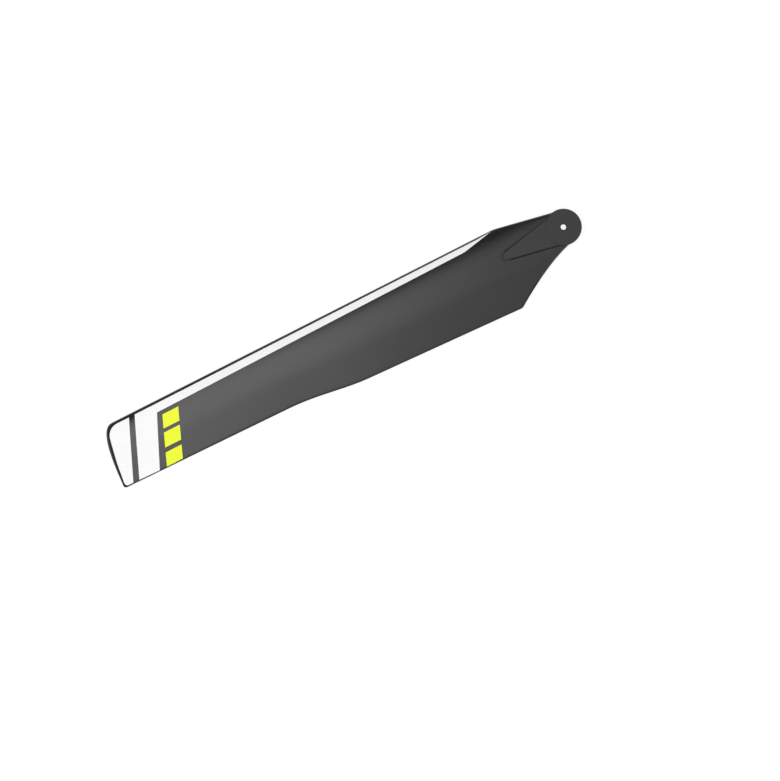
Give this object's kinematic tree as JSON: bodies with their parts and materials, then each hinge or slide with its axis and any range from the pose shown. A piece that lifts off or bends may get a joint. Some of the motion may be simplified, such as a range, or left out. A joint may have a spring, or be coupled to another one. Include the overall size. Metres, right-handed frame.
{
  "type": "model helicopter rotor blade",
  "caption": "Main rotor blade for a small model helicopter: a moulded symmetrical aerofoil with a stepped trailing edge, a rounded raked tip and a round root drilled for a blade bolt.",
  "frame": {"origin": "centre of the bolt hole, halfway through the thickness of the root", "axes": "+X along the span to the tip, +Z along the bolt's axis to the printed upper face, leading edge toward -Y"},
  "size_m": [0.1295, 0.0205, 0.0036],
  "materials": {
    "plastic": "dark grey fibre-filled plastic with a fine satin moulded skin",
    "white_ink": "opaque white printed ink, satin",
    "yellow_ink": "opaque bright yellow printed ink, satin"
  },
  "bodies": {
    "root": {"blade": "plastic"}
  },
  "joints": []
}
